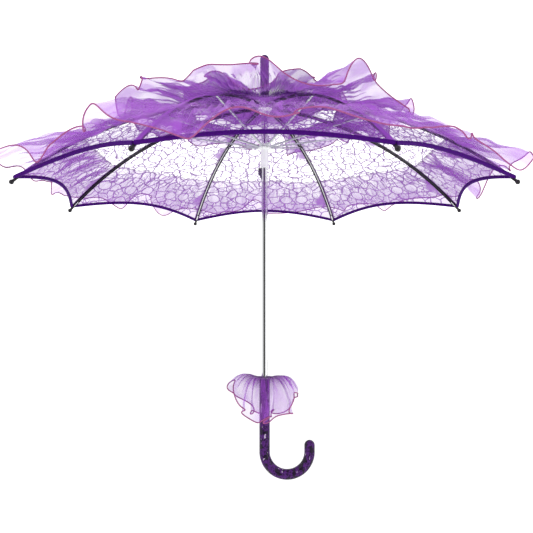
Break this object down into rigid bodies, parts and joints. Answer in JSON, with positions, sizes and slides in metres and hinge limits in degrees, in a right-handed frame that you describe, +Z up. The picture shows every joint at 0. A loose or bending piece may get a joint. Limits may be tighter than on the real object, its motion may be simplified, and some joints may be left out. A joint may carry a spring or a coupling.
{
  "type": "lace parasol",
  "caption": "Stick parasol with a shallow lace canopy on folding steel ribs, sheer organza ruffles on top, a sliding runner and a lace-covered crook handle.",
  "frame": {"origin": "on the shaft's axis at the middle of the straight grip of the handle, where a hand holds it", "axes": "+Z up the shaft to the ferrule, +X the way the crook opens, and a gore's middle faces +X, +Y, -X and -Y"},
  "size_m": [0.7654, 0.7654, 0.7106],
  "materials": {
    "chrome": "polished",
    "spring_steel": "satin",
    "rib_steel": "semi-gloss black",
    "stretcher_steel": "satin",
    "runner_plastic": "translucent white",
    "notch_plastic": "white",
    "tip_plastic": "gloss black",
    "crook_plastic": "satin dark purple",
    "sleeve_lace": "knitted lace, dark purple",
    "canopy_lace": "open lace, purple",
    "organza": "sheer organza, violet"
  },
  "bodies": {
    "shaft": {"shaft": "chrome", "top_notch": "notch_plastic", "notch_wire": "spring_steel", "ferrule_core": "crook_plastic", "ferrule_sleeve": "sleeve_lace", "handle_core": "crook_plastic", "handle_sleeve": "sleeve_lace", "handle_ruffle": "organza"},
    "runner": {"runner": "runner_plastic", "runner_wire": "spring_steel"},
    "top_spring": {"top_spring": "spring_steel"},
    "bottom_spring": {"bottom_spring": "spring_steel"},
    "rib_1": {"rib_1": "rib_steel", "rivet_1": "rib_steel", "tip_1": "tip_plastic"},
    "stretcher_1": {"stretcher_1": "stretcher_steel"},
    "gore_1": {"gore_1": "canopy_lace", "ruffle_1": "organza"},
    "rib_2": {"rib_2": "rib_steel", "rivet_2": "rib_steel", "tip_2": "tip_plastic"},
    "stretcher_2": {"stretcher_2": "stretcher_steel"},
    "gore_2": {"gore_2": "canopy_lace", "ruffle_2": "organza"},
    "rib_3": {"rib_3": "rib_steel", "rivet_3": "rib_steel", "tip_3": "tip_plastic"},
    "stretcher_3": {"stretcher_3": "stretcher_steel"},
    "gore_3": {"gore_3": "canopy_lace", "ruffle_3": "organza"},
    "rib_4": {"rib_4": "rib_steel", "rivet_4": "rib_steel", "tip_4": "tip_plastic"},
    "stretcher_4": {"stretcher_4": "stretcher_steel"},
    "gore_4": {"gore_4": "canopy_lace", "ruffle_4": "organza"},
    "rib_5": {"rib_5": "rib_steel", "rivet_5": "rib_steel", "tip_5": "tip_plastic"},
    "stretcher_5": {"stretcher_5": "stretcher_steel"},
    "gore_5": {"gore_5": "canopy_lace", "ruffle_5": "organza"},
    "rib_6": {"rib_6": "rib_steel", "rivet_6": "rib_steel", "tip_6": "tip_plastic"},
    "stretcher_6": {"stretcher_6": "stretcher_steel"},
    "gore_6": {"gore_6": "canopy_lace", "ruffle_6": "organza"},
    "rib_7": {"rib_7": "rib_steel", "rivet_7": "rib_steel", "tip_7": "tip_plastic"},
    "stretcher_7": {"stretcher_7": "stretcher_steel"},
    "gore_7": {"gore_7": "canopy_lace", "ruffle_7": "organza"},
    "rib_8": {"rib_8": "rib_steel", "rivet_8": "rib_steel", "tip_8": "tip_plastic"},
    "stretcher_8": {"stretcher_8": "stretcher_steel"},
    "gore_8": {"gore_8": "canopy_lace", "ruffle_8": "organza"}
  },
  "joints": [
    {"name": "runner_slide", "type": "slide", "parent": "shaft", "child": "runner", "axis": [0, 0, -1], "range_m": [0, 0.27563], "deforming": ["gore_1", "ruffle_1", "gore_2", "ruffle_2", "gore_3", "ruffle_3", "gore_4", "ruffle_4", "gore_5", "ruffle_5", "gore_6", "ruffle_6", "gore_7", "ruffle_7", "gore_8", "ruffle_8", "top_spring", "bottom_spring"]},
    {"name": "rib_1_hinge", "type": "hinge", "parent": "shaft", "child": "rib_1", "pos_m": [0.00924, 0.00383, 0.51992], "axis": [-0.3827, 0.9239, 0], "range_deg": [0, 67.24]},
    {"name": "stretcher_1_hinge", "type": "hinge", "parent": "rib_1", "child": "stretcher_1", "pos_m": [0.16815, 0.06965, 0.4911], "axis": [0.3827, -0.9239, 0], "range_deg": [0, 131.61]},
    {"name": "gore_1_hinge", "type": "hinge", "parent": "shaft", "child": "gore_1", "pos_m": [0.00653, 0.00653, 0.51992], "axis": [-0.7071, 0.7071, 0], "range_deg": [0, 65.71]},
    {"name": "rib_2_hinge", "type": "hinge", "parent": "shaft", "child": "rib_2", "pos_m": [0.00383, 0.00924, 0.51992], "axis": [-0.9239, 0.3827, 0], "range_deg": [0, 67.24]},
    {"name": "stretcher_2_hinge", "type": "hinge", "parent": "rib_2", "child": "stretcher_2", "pos_m": [0.06965, 0.16815, 0.4911], "axis": [0.9239, -0.3827, 0], "range_deg": [0, 131.61]},
    {"name": "gore_2_hinge", "type": "hinge", "parent": "shaft", "child": "gore_2", "pos_m": [0, 0.00924, 0.51992], "axis": [-1, 0, 0], "range_deg": [0, 65.71]},
    {"name": "rib_3_hinge", "type": "hinge", "parent": "shaft", "child": "rib_3", "pos_m": [-0.00383, 0.00924, 0.51992], "axis": [-0.9239, -0.3827, 0], "range_deg": [0, 67.24]},
    {"name": "stretcher_3_hinge", "type": "hinge", "parent": "rib_3", "child": "stretcher_3", "pos_m": [-0.06965, 0.16815, 0.4911], "axis": [0.9239, 0.3827, 0], "range_deg": [0, 131.61]},
    {"name": "gore_3_hinge", "type": "hinge", "parent": "shaft", "child": "gore_3", "pos_m": [-0.00653, 0.00653, 0.51992], "axis": [-0.7071, -0.7071, 0], "range_deg": [0, 65.71]},
    {"name": "rib_4_hinge", "type": "hinge", "parent": "shaft", "child": "rib_4", "pos_m": [-0.00924, 0.00383, 0.51992], "axis": [-0.3827, -0.9239, 0], "range_deg": [0, 67.24]},
    {"name": "stretcher_4_hinge", "type": "hinge", "parent": "rib_4", "child": "stretcher_4", "pos_m": [-0.16815, 0.06965, 0.4911], "axis": [0.3827, 0.9239, 0], "range_deg": [0, 131.61]},
    {"name": "gore_4_hinge", "type": "hinge", "parent": "shaft", "child": "gore_4", "pos_m": [-0.00924, 0, 0.51992], "axis": [0, -1, 0], "range_deg": [0, 65.71]},
    {"name": "rib_5_hinge", "type": "hinge", "parent": "shaft", "child": "rib_5", "pos_m": [-0.00924, -0.00383, 0.51992], "axis": [0.3827, -0.9239, 0], "range_deg": [0, 67.24]},
    {"name": "stretcher_5_hinge", "type": "hinge", "parent": "rib_5", "child": "stretcher_5", "pos_m": [-0.16815, -0.06965, 0.4911], "axis": [-0.3827, 0.9239, 0], "range_deg": [0, 131.61]},
    {"name": "gore_5_hinge", "type": "hinge", "parent": "shaft", "child": "gore_5", "pos_m": [-0.00653, -0.00653, 0.51992], "axis": [0.7071, -0.7071, 0], "range_deg": [0, 65.71]},
    {"name": "rib_6_hinge", "type": "hinge", "parent": "shaft", "child": "rib_6", "pos_m": [-0.00383, -0.00924, 0.51992], "axis": [0.9239, -0.3827, 0], "range_deg": [0, 67.24]},
    {"name": "stretcher_6_hinge", "type": "hinge", "parent": "rib_6", "child": "stretcher_6", "pos_m": [-0.06965, -0.16815, 0.4911], "axis": [-0.9239, 0.3827, 0], "range_deg": [0, 131.61]},
    {"name": "gore_6_hinge", "type": "hinge", "parent": "shaft", "child": "gore_6", "pos_m": [0, -0.00924, 0.51992], "axis": [1, 0, 0], "range_deg": [0, 65.71]},
    {"name": "rib_7_hinge", "type": "hinge", "parent": "shaft", "child": "rib_7", "pos_m": [0.00383, -0.00924, 0.51992], "axis": [0.9239, 0.3827, 0], "range_deg": [0, 67.24]},
    {"name": "stretcher_7_hinge", "type": "hinge", "parent": "rib_7", "child": "stretcher_7", "pos_m": [0.06965, -0.16815, 0.4911], "axis": [-0.9239, -0.3827, 0], "range_deg": [0, 131.61]},
    {"name": "gore_7_hinge", "type": "hinge", "parent": "shaft", "child": "gore_7", "pos_m": [0.00653, -0.00653, 0.51992], "axis": [0.7071, 0.7071, 0], "range_deg": [0, 65.71]},
    {"name": "rib_8_hinge", "type": "hinge", "parent": "shaft", "child": "rib_8", "pos_m": [0.00924, -0.00383, 0.51992], "axis": [0.3827, 0.9239, 0], "range_deg": [0, 67.24]},
    {"name": "stretcher_8_hinge", "type": "hinge", "parent": "rib_8", "child": "stretcher_8", "pos_m": [0.16815, -0.06965, 0.4911], "axis": [-0.3827, -0.9239, 0], "range_deg": [0, 131.61]},
    {"name": "gore_8_hinge", "type": "hinge", "parent": "shaft", "child": "gore_8", "pos_m": [0.00924, 0, 0.51992], "axis": [0, 1, 0], "range_deg": [0, 65.71]},
    {"name": "top_spring_press", "type": "slide", "parent": "shaft", "child": "top_spring", "axis": [1, 0, 0], "range_m": [0, 0.006], "stiffness_N_per_m": 400},
    {"name": "bottom_spring_press", "type": "slide", "parent": "shaft", "child": "bottom_spring", "axis": [0, -1, 0], "range_m": [0, 0.006], "stiffness_N_per_m": 400}
  ],
  "couplings": [
    {"joint": "rib_1_hinge", "follows": "runner_slide", "rad_per_m": 4.2566},
    {"joint": "stretcher_1_hinge", "follows": "runner_slide", "rad_per_m": 8.3326},
    {"joint": "gore_1_hinge", "follows": "runner_slide", "rad_per_m": 4.1593},
    {"joint": "rib_2_hinge", "follows": "runner_slide", "rad_per_m": 4.2566},
    {"joint": "stretcher_2_hinge", "follows": "runner_slide", "rad_per_m": 8.3326},
    {"joint": "gore_2_hinge", "follows": "runner_slide", "rad_per_m": 4.1593},
    {"joint": "rib_3_hinge", "follows": "runner_slide", "rad_per_m": 4.2566},
    {"joint": "stretcher_3_hinge", "follows": "runner_slide", "rad_per_m": 8.3326},
    {"joint": "gore_3_hinge", "follows": "runner_slide", "rad_per_m": 4.1593},
    {"joint": "rib_4_hinge", "follows": "runner_slide", "rad_per_m": 4.2566},
    {"joint": "stretcher_4_hinge", "follows": "runner_slide", "rad_per_m": 8.3326},
    {"joint": "gore_4_hinge", "follows": "runner_slide", "rad_per_m": 4.1593},
    {"joint": "rib_5_hinge", "follows": "runner_slide", "rad_per_m": 4.2566},
    {"joint": "stretcher_5_hinge", "follows": "runner_slide", "rad_per_m": 8.3326},
    {"joint": "gore_5_hinge", "follows": "runner_slide", "rad_per_m": 4.1593},
    {"joint": "rib_6_hinge", "follows": "runner_slide", "rad_per_m": 4.2566},
    {"joint": "stretcher_6_hinge", "follows": "runner_slide", "rad_per_m": 8.3326},
    {"joint": "gore_6_hinge", "follows": "runner_slide", "rad_per_m": 4.1593},
    {"joint": "rib_7_hinge", "follows": "runner_slide", "rad_per_m": 4.2566},
    {"joint": "stretcher_7_hinge", "follows": "runner_slide", "rad_per_m": 8.3326},
    {"joint": "gore_7_hinge", "follows": "runner_slide", "rad_per_m": 4.1593},
    {"joint": "rib_8_hinge", "follows": "runner_slide", "rad_per_m": 4.2566},
    {"joint": "stretcher_8_hinge", "follows": "runner_slide", "rad_per_m": 8.3326},
    {"joint": "gore_8_hinge", "follows": "runner_slide", "rad_per_m": 4.1593}
  ]
}
